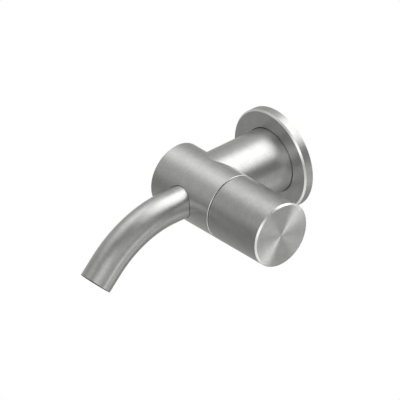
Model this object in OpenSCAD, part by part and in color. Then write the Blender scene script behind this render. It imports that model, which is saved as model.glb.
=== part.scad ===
// Wall-mounted basin mixer tap in satin stainless steel, drawn in millimetres.
// The neck leaves the wall along -Y and meets the round body in a saddle joint.
// The body lies along X with its handle turning on the same axis at the +X end.
// The bent spout leaves the front of the body. +Z is up.
// The origin is the centre of the wall plate's back face, on the neck axis.

/* [Body] */
// Outer diameter of the body and of the handle
body_d = 41; // [40.5:0.5:56]
// Body length from the neck axis to the closed end
body_left = 24.2; // [22:0.1:60]
// Body length from the neck axis to the handle joint
body_right = 25.2; // [22:0.1:30]
// Broken edge on the body ends and on the inner end of the handle
body_edge = 0.3; // [0.1:0.05:0.6]
// Reach of the body's round spigot into the neck, from the body surface
spigot_reach = 4; // [3:0.5:8]

/* [Neck] */
// Outer diameter of the neck tube
neck_d = 40; // [38:0.5:40.5]
// Wall of the neck tube
neck_wall = 3; // [2:0.1:3.4]
// Distance from the wall to the body axis
wall_to_axis = 57.8; // [50:0.1:120]
// Distance from the wall to the neck's grub screw
neck_grub_y = 10; // [9:0.1:11]

/* [Wall plate and rosette] */
// Outer diameter of the rosette
rosette_d = 63; // [62:0.5:90]
// Height of the rosette off the wall
rosette_h = 6; // [5.8:0.1:7.2]
// Edge chamfer of the rosette
rosette_chamfer = 1; // [0.3:0.1:1.4]
// Front wall of the rosette
rosette_wall = 1.6; // [1:0.1:2.2]
// Rim that the rosette rests on
rosette_rim = 2.6; // [2.2:0.1:4]
// Gap between the rosette's bore and the neck
rosette_gap = 0.3; // [0.15:0.05:0.5]
// Broken edge round the rosette's bore
rosette_bore_edge = 0.25; // [0.1:0.05:0.4]
// Cord of the rubber ring that grips the neck
rosette_cord_d = 1.6; // [1.2:0.1:1.8]
// Thickness of the wall plate
plate_t = 3; // [2.4:0.1:3.4]
// Pitch circle of the wall screws
screw_pcd = 48; // [46:0.5:49]
// Diameter of the wall screws
screw_d = 4; // [3:0.1:4.5]
// Reach of the wall screws behind the wall plate
screw_reach = 6; // [4:0.5:40]

/* [Inlets] */
// Diameter of the two supply spigots that the inlet bores take
inlet_d = 8; // [6:0.1:8.4]
// Depth of the inlet bores
inlet_depth = 10; // [6:0.5:11]
// Distance of each inlet and feed tube from the neck axis
inlet_offset = 8.4; // [8.2:0.1:9]
// Depth of the inlet block
block_depth = 18; // [17:0.5:22]
// Outer diameter of the feed tubes
feed_d = 8; // [6:0.1:8.4]
// Wall of the feed tubes
feed_wall = 1; // [0.6:0.1:1.4]
// Depth of the feed tube sockets
feed_socket = 6; // [4:0.5:6]
// Bore of the water passages
passage_d = 5; // [4:0.1:5.2]

/* [Cartridge] */
// Outer diameter of the cartridge
cartridge_d = 29.8; // [28.6:0.1:30]
// Wall of the cartridge housing
housing_wall = 2.4; // [2:0.1:2.6]
// Thickness of the cartridge base
base_t = 3.4; // [3:0.1:4]
// Thickness of each ceramic disc
disc_t = 3; // [2.6:0.1:3.4]
// Thickness of the disc carrier
carrier_t = 3.3; // [2.6:0.1:4]
// Thickness of the spindle flange
flange_t = 2.2; // [1.6:0.1:3]
// Roof of the cartridge housing
roof_t = 2.7; // [2:0.1:3.4]
// Diameter of the housing's neck
housing_neck_d = 18; // [16:0.5:20]
// Length of the housing's neck
housing_neck_l = 10; // [9:0.5:11]
// Diameter of the spindle
spindle_d = 10; // [9.4:0.1:10.6]
// Thickness of the retaining nut
nut_t = 6; // [5:0.5:7]
// Thickness of the stop ring
stop_t = 2.6; // [2:0.1:3]
// Turn of the handle from closed to full hot, in degrees
turn_max = 100; // [80:1:110]

/* [Handle] */
// Length of the handle
handle_length = 42.1; // [40:0.1:80]
// Gap between the body and the handle
handle_gap = 0.5; // [0.2:0.05:0.6]
// Wall of the handle
handle_wall = 2.1; // [1.4:0.1:2.2]
// Closed end of the handle
handle_end_t = 5.8; // [3:0.1:7]
// Chamfer round the closed end of the handle
handle_chamfer = 1; // [0.4:0.1:2]
// Length of the spindle's splined end
spline_l = 9; // [7:0.5:10]

/* [Spout] */
// Outer diameter of the spout tube
spout_d = 20; // [19:0.1:21]
// Wall of the spout tube
spout_wall = 2.2; // [2:0.1:2.4]
// Distance from the body axis to the start of the bend
spout_straight = 29.2; // [26:0.1:120]
// Radius of the bend along the tube's centre line
bend_r = 69.3; // [40:0.1:120]
// Angle of the bend
bend_angle = 45; // [20:1:90]
// Straight length after the bend
tip_length = 11.7; // [11.3:0.1:40]
// Depth of the spout socket from the body surface
spout_socket = 8.5; // [7.5:0.1:8.8]
// Seam round the spout where it enters the body
spout_seam = 0.25; // [0.1:0.05:0.4]
// Turn of the spout's grub screw round the spout's axis, away from the handle
spout_grub_turn = 30; // [0:5:35]
// Broken edge round the spout's mouth
tip_edge = 0.15; // [0.1:0.05:0.5]

/* [Aerator] */
// Wall of the spout tube round the aerator
mouth_wall = 1.3; // [1.1:0.1:1.6]
// Depth of the aerator's face inside the mouth
mouth_recess = 0.8; // [0.3:0.1:1.4]
// Length of the aerator housing
aerator_l = 8.2; // [7.6:0.1:8.4]
// Thickness of the aerator's seal
aerator_seal_t = 1.2; // [0.8:0.1:1.4]

/* [Fits] */
// Clearance between pieces that seat in each other
seat_gap = 0.04; // [0.02:0.01:0.08]
// Radial clearance of pieces that turn in each other
run_gap = 0.06; // [0.03:0.01:0.1]
// Thickness of the glide ring between the body and the handle
glide_t = 0.9; // [0.7:0.1:1.1]

/* [Hidden] */
$fn = 96;
cord_facets = 48;
jet_facets = 24;
// Overshoot of a cutting shape past the face that it opens
over = 1;

// Main radii and places
body_r = body_d / 2;
neck_r = neck_d / 2;
neck_bore_r = neck_r - neck_wall;
axis_y = -wall_to_axis;
spigot_r = neck_bore_r - seat_gap;
spigot_y = axis_y + body_r + spigot_reach;
handle_x0 = body_right + handle_gap;
handle_x1 = handle_x0 + handle_length;
handle_bore_r = body_r - handle_wall;
handle_inner_x = handle_x1 - handle_end_t;

// Grub screws and hexagon sockets
grub_r = 2;
grub_sink = 0.5;
grub_edge = 0.3;
grub_socket_r = 1.15;
grub_socket_depth = 1.8;
grub_hole_r = grub_r + seat_gap;
head_sink = 0.2;

// Rosette, wall plate and wall screws
rosette_r = rosette_d / 2;
rosette_bore_r = neck_r + rosette_gap;
cavity_r = rosette_r - rosette_rim;
plate_clear = 0.4;
collar_wall = 2.7;
collar_clear = 0.3;
plate_r = cavity_r - plate_clear;
plate_spigot_l = 11;
plate_spigot_wall = 2;
seal_groove = 1;
seal_w = 1.2;
seal_r = rosette_r - rosette_rim / 2;
grip_r = rosette_cord_d / 2;
grip_land = 0.25;
grip_y = -(plate_t + collar_clear + grip_land + grip_r);
screw_r = screw_d / 2;
screw_head_w = 1.7;
screw_head_r = screw_r + screw_head_w;
screw_shank_r = screw_r - 0.2;
screw_tip = 0.5;
screw_socket_share = 0.6;
screw_socket_r = screw_r * screw_socket_share;
screw_socket_depth = 1.4;
screw_count = 3;
screw_turn = 220;

// Inlet block, feed tubes and their seals
block_r = neck_bore_r - seat_gap - plate_spigot_wall - seat_gap;
block_flange_r = spigot_r;
block_flange_t = 2;
inlet_r = inlet_d / 2;
feed_r = feed_d / 2;
feed_cord_r = 0.6;
feed_socket_r = feed_r + seat_gap;
feed_y0 = -(block_depth - feed_socket);
feed_y1 = spigot_y - feed_socket;
feed_seal_r = feed_r + feed_cord_r + seat_gap / 2;
seal_seat_r = feed_seal_r + feed_cord_r + seat_gap / 2;
feed_seal_slack = 0.6;
seal_seat_depth = 2 * feed_cord_r + feed_seal_slack;
passage_r = passage_d / 2;

// Cartridge stack along X, from the chamber floor outwards
chamber_web = 1.5;
spout_r = spout_d / 2;
socket_r = spout_r + seat_gap;
floor_x = socket_r + chamber_web;
sleeve_r = handle_bore_r - run_gap - glide_t;
glide_sink = 0.2;
glide_seat_r = sleeve_r - glide_sink;
cartridge_r = cartridge_d / 2;
chamber_r = cartridge_r + seat_gap;
// The nut's thread lies between the chamber and the glide ring's seat
thread_share = 0.46;
thread_r = chamber_r + thread_share * (glide_seat_r - chamber_r);
cavity_bore_r = cartridge_r - housing_wall;
base_lip = 1.2;
base_x1 = floor_x + base_t;
fixed_x1 = base_x1 + disc_t;
film = 0.05;
moving_x0 = fixed_x1 + film;
moving_x1 = moving_x0 + disc_t;
carrier_x1 = moving_x1 + carrier_t;
flange_x1 = carrier_x1 + flange_t;
roof_x0 = flange_x1 + film;
shoulder_x = roof_x0 + roof_t;
neck_end_x = shoulder_x + housing_neck_l;
nut_x1 = shoulder_x + nut_t;
nut_clear = 1;
nut_slot_n = 6;
nut_slot_w = 3;
nut_slot_l = 3;
nut_slot_depth = 2.5;
sleeve_end = 1.2;
sleeve_x1 = nut_x1 + sleeve_end;
glide_land = 1;
glide_split_half = 4;
glide_w = 4;
glide_x0 = body_right + glide_land;
spindle_r = spindle_d / 2;
spindle_bore_r = spindle_r + run_gap;
port_seal_w = 1.2;
port_seal_t = 1.2;
peg_r = 1.4;
peg_l = 1.6;
peg_turn = 45;
peg_inset = 3;
peg_place = cartridge_r - peg_inset;
disc_r = cavity_bore_r - run_gap;
carrier_clear = 0.3;
slot_half = 15;
port_half = 25;
port_reach = 1.9;
cold_slot = -50;
hot_slot = 180 - turn_max;
channel_share = 0.6;
channel_depth = disc_t * channel_share;
dog_share = 0.35;
dog_depth = disc_t * dog_share;
dog_w = 2.4;
dog_half = 12;
dog_slack = 1;
dog_turn = 15;
dog_clear = 0.1;
tongue = 6.6;
spindle_cord_r = 0.68;
spindle_groove_r = spindle_r - 2 * spindle_cord_r - seat_gap;
spindle_groove_slack = 0.3;
spindle_groove_w = 2 * spindle_cord_r + spindle_groove_slack;
spindle_groove_land = 3;
spindle_groove_pitch = 3.5;
spindle_flange_w = 3;
spline_n = 20;
spline_r = spindle_r - 1;
spline_tooth = 0.45;
stop_ring_w = 1.8;
stop_r = spline_r + stop_ring_w;
stop_tab_half = 10;
stop_slack = 2;
stop_x0 = neck_end_x + film;
stop_x1 = stop_x0 + stop_t;
lug_clear = 0.4;
lug_h = stop_t - lug_clear;
lug_gap = 0.3;
lug_inset = 0.2;

// Handle hub and its screws
hub_x0 = stop_x1 + film;
spindle_x1 = hub_x0 + spline_l;
hub_web = 2;
hub_boss_r = 8;
hub_disc_t = 5;
hub_rim_t = 2.4;
hub_r = handle_bore_r - seat_gap;
hub_screw_r = 2;
hub_screw_head_r = 3.6;
hub_screw_head_h = 2.4;
hub_screw_l = 7;
hub_screw_clear = 0.3;
hub_socket_r = 1.6;
hub_socket_depth = 1.5;
hub_grub_x = (hub_x0 + handle_inner_x) / 2;
hub_pad_r = 4;
hub_grub_bite = 1;

// Spout socket, nipple and their seals
socket_y = axis_y - body_r + spout_socket;
nipple_thread_r = 6.6;
nipple_thread_l = 8.5;
nipple_floor_y = socket_y + nipple_thread_l;
nipple_r = spout_r - spout_wall - seat_gap;
nipple_bore_r = 4.6;
nipple_reach = 11;
nipple_cord_r = 0.6;
nipple_groove_r = nipple_r - 2 * nipple_cord_r;
nipple_end_land = 2;
nipple_groove_pitch = 3;
spout_bore_r = spout_r - spout_wall;
bend_y = axis_y - spout_straight;
spout_grub_land = 0.6;
spout_grub_y = socket_y - grub_r - spout_grub_land;
spout_grub_cover = sqrt(pow(body_r, 2) - pow(spout_grub_y - grub_r - axis_y, 2)) / cos(spout_grub_turn);
spout_grub_end = spout_grub_cover - grub_r * tan(spout_grub_turn) - grub_sink;
spout_seam_land = 0.6;
spout_seam_y = axis_y - sqrt(pow(body_r, 2) - pow(spout_r + spout_seam, 2)) + spout_seam_land;

// Aerator places along the spout's tip, from the end of the bend
mouth_r = spout_r - mouth_wall;
aerator_z1 = tip_length - mouth_recess;
aerator_z0 = aerator_z1 - aerator_l;
mouth_z0 = aerator_z0 - aerator_seal_t;
aerator_r = mouth_r - seat_gap;
aerator_wall = 1.4;
aerator_bore_r = aerator_r - aerator_wall;
aerator_lip = 0.7;
aerator_lip_t = 1.4;
core_t = 3.6;
core_gap = 0.6;
screen_t = 1;
jet_n = 12;
jet_r = 0.55;
mesh_pitch = 1.7;
mesh_bar = 0.4;
key_notch = 1.6;
key_depth = 0.7;
key_bite = 0.5;
core_boss_r = 2.7;
jet_circle_r = 4.4;
mesh_margin = 1.2;

// Places children on the body axis, with their own Z along +X
module on_axis(x = 0) {
    translate([x, axis_y, 0])
        rotate([0, 90, 0])
            children();
}

// Round rod along Y, from y0 down to y1, at a given place across the neck
module rod_y(y0, y1, r, x = 0, z = 0) {
    translate([x, y0, z])
        rotate([90, 0, 0])
            cylinder(h = y0 - y1, r = r);
}

// Round rod along the body axis, from x0 to x1
module rod_x(x0, x1, r) {
    on_axis(x0)
        cylinder(h = x1 - x0, r = r);
}

// Solid turned about the body axis from points of [radius, x]
module turned_x(points) {
    on_axis()
        rotate_extrude()
            polygon(points);
}

// Solid turned about the neck axis from points of [radius, distance off the wall]
module turned_y(points) {
    rotate([90, 0, 0])
        rotate_extrude()
            polygon(points);
}

// Flat ring of a given height
module ring(r_out, r_in, h) {
    difference() {
        cylinder(h = h, r = r_out);
        translate([0, 0, -over])
            cylinder(h = h + 2 * over, r = r_in);
    }
}

// Rubber ring of round section, in the XY plane
module cord_ring(r, cord_r) {
    rotate_extrude()
        translate([r, 0])
            circle(r = cord_r, $fn = cord_facets);
}

// Sector of a ring, centred on an angle
module ring_sector(r_in, r_out, middle, half, h) {
    rotate([0, 0, middle - half])
        rotate_extrude(angle = 2 * half)
            translate([r_in, 0])
                square([r_out - r_in, h]);
}

// Grub screw with a hexagon socket, from its tip at z = 0
module grub_screw(length) {
    difference() {
        rotate_extrude()
            polygon([
                [0, 0],
                [grub_r / 2, 0],
                [grub_r, grub_r / 2],
                [grub_r, length - grub_edge],
                [grub_r - grub_edge, length],
                [0, length],
            ]);
        translate([0, 0, length - grub_socket_depth])
            cylinder(h = grub_socket_depth + over, r = grub_socket_r, $fn = 6);
    }
}

// Points of a round spline, two to each tooth
function spline_points(extra) = [
    for (i = [0 : 2 * spline_n - 1])
        let (r = spline_r + extra - (i % 2) * spline_tooth, a = i * 180 / spline_n)
            [r * cos(a), r * sin(a)]
];

// Splined rod, or its socket when it has extra clearance
module spline(length, extra = 0) {
    linear_extrude(height = length)
        polygon(spline_points(extra));
}

// Places children at each of the two feed lines
module each_feed() {
    for (side = [-1, 1])
        translate([0, 0, side * inlet_offset])
            children();
}

// Places children at the middle of the bend, with their own Z along +X and the
// bend's start on their own +X side
module on_bend() {
    translate([0, bend_y, -bend_r])
        rotate([0, -90, 180])
            children();
}

// Places children on the spout's tip, with their own Z along the water's way
module on_tip(z = 0) {
    on_bend()
        rotate([0, 0, bend_angle])
            translate([bend_r, 0, 0])
                rotate([-90, 0, 0])
                    translate([0, 0, z])
                        children();
}

// The spout's way as a solid of radius r, from y0 to a length past the bend
module spout_sweep(r, y0, past_bend) {
    rod_y(y0, bend_y, r);
    on_bend()
        rotate_extrude(angle = bend_angle)
            translate([bend_r, 0])
                circle(r = r);
    on_tip()
        cylinder(h = past_bend, r = r);
}

// Water passages inside the body, between the sockets and the chamber floor
module body_passages() {
    each_feed() {
        rod_y(spigot_y + over, feed_y1, feed_socket_r);
        rod_y(spigot_y + over, spigot_y - seal_seat_depth, seal_seat_r);
        rod_y(feed_y1 + over, axis_y - passage_r, passage_r);
        rod_x(0, floor_x + over, passage_r);
    }
    rod_x(0, floor_x + over, passage_r);
    rod_y(axis_y + passage_r, nipple_floor_y - over, passage_r);
    rod_y(nipple_floor_y, socket_y - over, nipple_thread_r + seat_gap);
    rod_y(socket_y, axis_y - body_r - over, socket_r);
    rod_y(spout_seam_y, axis_y - body_r - over, spout_r + spout_seam);
}

module mixer_body() {
    color([0.66, 0.66, 0.65])
        difference() {
            union() {
                turned_x([
                    [0, -body_left],
                    [body_r - body_edge, -body_left],
                    [body_r, -body_left + body_edge],
                    [body_r, body_right - body_edge],
                    [body_r - body_edge, body_right],
                    [sleeve_r, body_right],
                    [sleeve_r, glide_x0],
                    [glide_seat_r, glide_x0],
                    [glide_seat_r, glide_x0 + glide_w],
                    [sleeve_r, glide_x0 + glide_w],
                    [sleeve_r, sleeve_x1],
                    [0, sleeve_x1],
                ]);
                rod_y(spigot_y, axis_y, spigot_r);
            }
            rod_x(floor_x, sleeve_x1 + over, chamber_r);
            rod_x(shoulder_x, sleeve_x1 + over, thread_r);
            at_pegs(floor_x - peg_l - seat_gap)
                cylinder(h = peg_l + over, r = peg_r + seat_gap);
            body_passages();
            rotate([0, spout_grub_turn, 0])
                translate([0, spout_grub_y, -body_r - over])
                    cylinder(h = body_r + over - socket_r / 2, r = grub_hole_r);
        }
}

module neck_tube() {
    color([0.72, 0.72, 0.71])
        difference() {
            rod_y(-plate_t, axis_y, neck_r);
            rod_y(over, axis_y - over, neck_bore_r);
            rod_x(-body_left - over, body_right + over, body_r + seat_gap / 2);
            translate([0, -neck_grub_y, -neck_r - over])
                cylinder(h = neck_wall + 2 * over, r = grub_hole_r);
        }
}

module neck_grub_screw() {
    color([0.45, 0.45, 0.46])
        translate([0, -neck_grub_y, -block_r - seat_gap])
            rotate([180, 0, 0])
                grub_screw(neck_r - grub_sink - block_r - seat_gap);
}

module wall_plate() {
    color([0.6, 0.6, 0.6])
        difference() {
            turned_y([
                [block_r + seat_gap, 0],
                [plate_r, 0],
                [plate_r, plate_t],
                [spigot_r, plate_t],
                [spigot_r, plate_t + plate_spigot_l],
                [block_r + seat_gap, plate_t + plate_spigot_l],
            ]);
            at_screws() {
                translate([0, 0, -over])
                    cylinder(h = plate_t + 2 * over, r = screw_r + seat_gap);
                translate([0, 0, plate_t - head_sink - screw_head_r + screw_r])
                    cylinder(h = screw_head_r - screw_r, r1 = screw_r + seat_gap, r2 = screw_head_r + seat_gap);
                translate([0, 0, plate_t - head_sink])
                    cylinder(h = head_sink + over, r = screw_head_r + seat_gap);
            }
            translate([0, -neck_grub_y, -spigot_r - over])
                cylinder(h = plate_spigot_wall + 2 * over, r = grub_hole_r);
        }
}

// Places children at each wall screw, with their own Z out of the wall
module at_screws() {
    rotate([90, 0, 0])
        for (i = [0 : screw_count - 1])
            rotate([0, 0, screw_turn + i * 360 / screw_count])
                translate([screw_pcd / 2, 0, 0])
                    children();
}

module wall_screws() {
    color([0.7, 0.7, 0.68])
        at_screws()
            difference() {
                rotate_extrude()
                    polygon([
                        [0, -screw_reach],
                        [screw_r - screw_tip, -screw_reach],
                        [screw_r, -screw_reach + screw_tip],
                        [screw_r, 0],
                        [screw_shank_r, 0],
                        [screw_shank_r, plate_t - head_sink - screw_head_r + screw_shank_r],
                        [screw_head_r, plate_t - head_sink],
                        [0, plate_t - head_sink],
                    ]);
                translate([0, 0, plate_t - head_sink - screw_socket_depth])
                    cylinder(h = screw_socket_depth + over, r = screw_socket_r, $fn = 6);
            }
}

module rosette() {
    color([0.55, 0.55, 0.54])
        difference() {
            turned_y([
                [cavity_r, 0],
                [rosette_r, 0],
                [rosette_r, rosette_h - rosette_chamfer],
                [rosette_r - rosette_chamfer, rosette_h],
                [rosette_bore_r + rosette_bore_edge, rosette_h],
                [rosette_bore_r, rosette_h - rosette_bore_edge],
                [rosette_bore_r, plate_t + collar_clear],
                [rosette_bore_r + collar_wall, plate_t + collar_clear],
                [rosette_bore_r + collar_wall, rosette_h - rosette_wall],
                [cavity_r, rosette_h - rosette_wall],
            ]);
            translate([0, grip_y, 0])
                rotate([90, 0, 0])
                    translate([0, 0, -grip_r - seat_gap])
                        cylinder(h = 2 * (grip_r + seat_gap), r = neck_r + rosette_cord_d + 2 * seat_gap);
            rotate([90, 0, 0])
                translate([0, 0, -over])
                    ring(seal_r + seal_w / 2 + seat_gap, seal_r - seal_w / 2 - seat_gap, seal_groove + over);
        }
}

module rosette_grip_ring() {
    color([0.12, 0.12, 0.12])
        translate([0, grip_y, 0])
            rotate([90, 0, 0])
                cord_ring(neck_r + grip_r + seat_gap, grip_r);
}

module rosette_wall_seal() {
    color([0.12, 0.12, 0.12])
        rotate([90, 0, 0])
            ring(seal_r + seal_w / 2, seal_r - seal_w / 2, seal_groove - seat_gap);
}

module inlet_block() {
    color([0.78, 0.66, 0.4])
        difference() {
            union() {
                rod_y(0, -block_depth, block_r);
                rod_y(-plate_t - plate_spigot_l, -plate_t - plate_spigot_l - block_flange_t, block_flange_r);
            }
            each_feed() {
                rod_y(over, -inlet_depth, inlet_r);
                rod_y(0, -block_depth - over, passage_r);
                rod_y(feed_y0, -block_depth - over, feed_socket_r);
                rod_y(-block_depth + seal_seat_depth, -block_depth - over, seal_seat_r);
            }
        }
}

// One feed tube, from the inlet block's socket to the body's socket
module feed_tube() {
    difference() {
        rod_y(feed_y0 - seat_gap, feed_y1 + seat_gap, feed_r);
        rod_y(0, axis_y, feed_r - feed_wall);
    }
}

module hot_feed_tube() {
    color([0.8, 0.52, 0.36])
        translate([0, 0, inlet_offset])
            feed_tube();
}

module cold_feed_tube() {
    color([0.8, 0.52, 0.36])
        translate([0, 0, -inlet_offset])
            feed_tube();
}

module feed_tube_seals() {
    color([0.12, 0.12, 0.12])
        each_feed()
            for (y = [-block_depth + seal_seat_depth - feed_cord_r, spigot_y - seal_seat_depth + feed_cord_r])
                translate([0, y, 0])
                    rotate([90, 0, 0])
                        cord_ring(feed_seal_r, feed_cord_r);
}

module cartridge_housing() {
    color([0.86, 0.86, 0.84]) {
        turned_x([
            [cavity_bore_r, floor_x + base_t - base_lip],
            [cartridge_r, floor_x + base_t - base_lip],
            [cartridge_r, shoulder_x],
            [housing_neck_d / 2, shoulder_x],
            [housing_neck_d / 2, neck_end_x],
            [spindle_bore_r, neck_end_x],
            [spindle_bore_r, roof_x0],
            [cavity_bore_r, roof_x0],
        ]);
        on_axis(neck_end_x - over / 2)
            ring_sector(
                stop_r + lug_gap,
                housing_neck_d / 2 - lug_inset,
                turn_max / 2 + 180,
                180 - turn_max / 2 - stop_tab_half - stop_slack,
                lug_h + over / 2
            );
    }
}

// Places children at each of the cartridge's two locating pegs
module at_pegs(x) {
    on_axis(x)
        for (turn = [peg_turn, peg_turn + 180])
            rotate([0, 0, turn])
                translate([peg_place, 0, 0])
                    children();
}

// The three water ports of the cartridge: cold, outlet and hot
module at_ports() {
    for (place = [-inlet_offset, 0, inlet_offset])
        translate([place, 0, 0])
            children();
}

module cartridge_base() {
    color([0.3, 0.32, 0.34])
        difference() {
            union() {
                rod_x(floor_x, base_x1 - base_lip, cartridge_r);
                rod_x(floor_x, base_x1, cavity_bore_r - seat_gap);
                at_pegs(floor_x - peg_l)
                    cylinder(h = peg_l + over, r = peg_r);
            }
            on_axis(floor_x)
                at_ports() {
                    translate([0, 0, -over])
                        cylinder(h = base_t + 2 * over, r = passage_r);
                    translate([0, 0, -over])
                        cylinder(h = port_seal_t + over, r = passage_r + port_seal_w + seat_gap);
                }
        }
}

module port_seals() {
    color([0.12, 0.12, 0.12])
        on_axis(floor_x)
            at_ports()
                ring(passage_r + port_seal_w, passage_r, port_seal_t);
}

module fixed_disc() {
    color([0.93, 0.92, 0.88])
        on_axis(base_x1)
            difference() {
                cylinder(h = disc_t, r = disc_r);
                translate([0, 0, -over]) {
                    cylinder(h = disc_t + 2 * over, r = passage_r);
                    for (middle = [0, 180])
                        ring_sector(
                            inlet_offset - port_reach,
                            inlet_offset + port_reach,
                            middle,
                            port_half,
                            disc_t + 2 * over
                        );
                }
            }
}

module moving_disc() {
    color([0.93, 0.92, 0.88])
        on_axis(moving_x0)
            difference() {
                cylinder(h = disc_t, r = disc_r - carrier_clear);
                translate([0, 0, -over]) {
                    cylinder(h = channel_depth + over, r = passage_r);
                    for (middle = [cold_slot, hot_slot])
                        ring_sector(0, inlet_offset + port_reach, middle, slot_half, channel_depth + over);
                }
                for (middle = [dog_turn, dog_turn + 180])
                    translate([0, 0, disc_t - dog_depth])
                        ring_sector(
                            disc_r - carrier_clear - dog_w,
                            disc_r + over,
                            middle,
                            dog_half,
                            dog_depth + over
                        );
            }
}

module disc_carrier() {
    color([0.2, 0.2, 0.22])
        difference() {
            union() {
                rod_x(moving_x1, carrier_x1, disc_r - carrier_clear);
                for (middle = [dog_turn, dog_turn + 180])
                    on_axis(moving_x1 - dog_depth + dog_clear)
                        ring_sector(
                            disc_r - carrier_clear - dog_w + dog_clear,
                            disc_r - carrier_clear,
                            middle,
                            dog_half - dog_slack,
                            dog_depth
                        );
            }
            on_axis(moving_x1)
                translate([-tongue / 2 - seat_gap, -tongue / 2 - seat_gap, -over])
                    cube([tongue + 2 * seat_gap, tongue + 2 * seat_gap, carrier_t + 2 * over]);
        }
}

// Middle of each spindle groove, counted from the housing's shoulder
function spindle_groove_x(i) = shoulder_x + spindle_groove_land + i * spindle_groove_pitch;

module spindle() {
    color([0.8, 0.68, 0.42])
        difference() {
            union() {
                on_axis(moving_x1)
                    translate([-tongue / 2, -tongue / 2, 0])
                        cube([tongue, tongue, carrier_t + flange_t / 2]);
                rod_x(carrier_x1, flange_x1, spindle_r + spindle_flange_w);
                rod_x(carrier_x1, neck_end_x, spindle_r);
                on_axis(neck_end_x - over)
                    spline(spindle_x1 - neck_end_x + over);
            }
            for (i = [0, 1])
                on_axis(spindle_groove_x(i) - spindle_groove_w / 2)
                    ring(spindle_r + over, spindle_groove_r, spindle_groove_w);
            rod_x(spindle_x1 - hub_screw_l, spindle_x1 + over, hub_screw_r + seat_gap);
        }
}

module spindle_seals() {
    color([0.12, 0.12, 0.12])
        for (i = [0, 1])
            on_axis(spindle_groove_x(i))
                cord_ring(spindle_r - spindle_cord_r - seat_gap / 2, spindle_cord_r);
}

module stop_ring() {
    color([0.75, 0.2, 0.18])
        on_axis(stop_x0)
            difference() {
                union() {
                    cylinder(h = stop_t, r = stop_r);
                    ring_sector(spline_r, housing_neck_d / 2, 0, stop_tab_half, stop_t);
                }
                translate([0, 0, -over])
                    spline(stop_t + 2 * over, seat_gap);
            }
}

module retaining_nut() {
    color([0.78, 0.66, 0.4])
        on_axis(shoulder_x)
            difference() {
                ring(thread_r - seat_gap, housing_neck_d / 2 + nut_clear, nut_t);
                for (i = [0 : nut_slot_n - 1])
                    rotate([0, 0, i * 360 / nut_slot_n])
                        translate([thread_r - nut_slot_l, -nut_slot_w / 2, nut_t - nut_slot_depth])
                            cube([nut_slot_l + over, nut_slot_w, nut_slot_depth + over]);
            }
}

module glide_ring() {
    color([0.85, 0.85, 0.83])
        on_axis(glide_x0 + seat_gap)
            ring_sector(
                glide_seat_r + seat_gap,
                handle_bore_r - run_gap,
                180,
                180 - glide_split_half,
                glide_w - 2 * seat_gap
            );
}

module handle() {
    color([0.68, 0.68, 0.67])
        difference() {
            turned_x([
                [handle_bore_r, handle_x0],
                [body_r - body_edge, handle_x0],
                [body_r, handle_x0 + body_edge],
                [body_r, handle_x1 - handle_chamfer],
                [body_r - handle_chamfer, handle_x1],
                [0, handle_x1],
                [0, handle_inner_x],
                [handle_bore_r, handle_inner_x],
            ]);
            translate([hub_grub_x, axis_y, -body_r - over])
                cylinder(h = handle_wall + 2 * over, r = grub_hole_r);
        }
}

module handle_hub() {
    color([0.78, 0.66, 0.4])
        difference() {
            union() {
                rod_x(hub_x0, handle_inner_x - seat_gap, hub_boss_r);
                rod_x(handle_inner_x - seat_gap - hub_disc_t, handle_inner_x - seat_gap, hub_r);
                on_axis(hub_x0)
                    ring(hub_r, hub_r - hub_rim_t, handle_inner_x - seat_gap - hub_x0);
                translate([hub_grub_x, axis_y, -hub_r + hub_rim_t / 2])
                    cylinder(h = hub_r - hub_rim_t / 2 - hub_boss_r / 2, r = hub_pad_r);
            }
            on_axis(hub_x0 - over)
                spline(spline_l + over + seat_gap, seat_gap);
            rod_x(spindle_x1 - over, handle_inner_x, hub_screw_r + hub_screw_clear);
            rod_x(spindle_x1 + hub_web, handle_inner_x + over, hub_screw_head_r + hub_screw_clear);
            translate([hub_grub_x, axis_y, -hub_r - over])
                cylinder(h = hub_r + over - hub_boss_r + hub_grub_bite, r = grub_hole_r);
        }
}

module hub_screw() {
    color([0.6, 0.6, 0.6])
        difference() {
            union() {
                rod_x(spindle_x1 + hub_web - hub_screw_l, spindle_x1 + hub_web, hub_screw_r);
                rod_x(spindle_x1 + hub_web, spindle_x1 + hub_web + hub_screw_head_h, hub_screw_head_r);
            }
            on_axis(spindle_x1 + hub_web + hub_screw_head_h - hub_socket_depth)
                cylinder(h = hub_socket_depth + over, r = hub_socket_r, $fn = 6);
        }
}

module handle_grub_screw() {
    color([0.45, 0.45, 0.46])
        translate([hub_grub_x, axis_y, -hub_boss_r + hub_grub_bite])
            rotate([180, 0, 0])
                grub_screw(body_r - grub_sink - hub_boss_r + hub_grub_bite);
}

module spout_tube() {
    color([0.7, 0.7, 0.69])
        difference() {
            spout_sweep(spout_r, socket_y - seat_gap, tip_length);
            spout_sweep(spout_bore_r, socket_y + over, tip_length + over);
            on_tip(mouth_z0)
                cylinder(h = tip_length, r = mouth_r);
            on_tip(tip_length - tip_edge)
                difference() {
                    cylinder(h = over, r = spout_r + over);
                    translate([0, 0, -over])
                        cylinder(h = over + tip_edge, r1 = spout_r + over, r2 = spout_r - tip_edge);
                }
            rotate([0, spout_grub_turn, 0])
                translate([0, spout_grub_y, -spout_r - over])
                    cylinder(h = spout_wall + 2 * over, r = grub_hole_r);
        }
}

module spout_nipple() {
    color([0.78, 0.66, 0.4])
        difference() {
            union() {
                rod_y(nipple_floor_y - seat_gap, socket_y, nipple_thread_r);
                rod_y(socket_y, socket_y - nipple_reach, nipple_r);
            }
            rod_y(axis_y, socket_y - nipple_reach - over, nipple_bore_r);
            for (y = nipple_groove_y())
                translate([0, y + nipple_cord_r + seat_gap, 0])
                    rotate([90, 0, 0])
                        ring(nipple_r + over, nipple_groove_r, 2 * (nipple_cord_r + seat_gap));
        }
}

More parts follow.
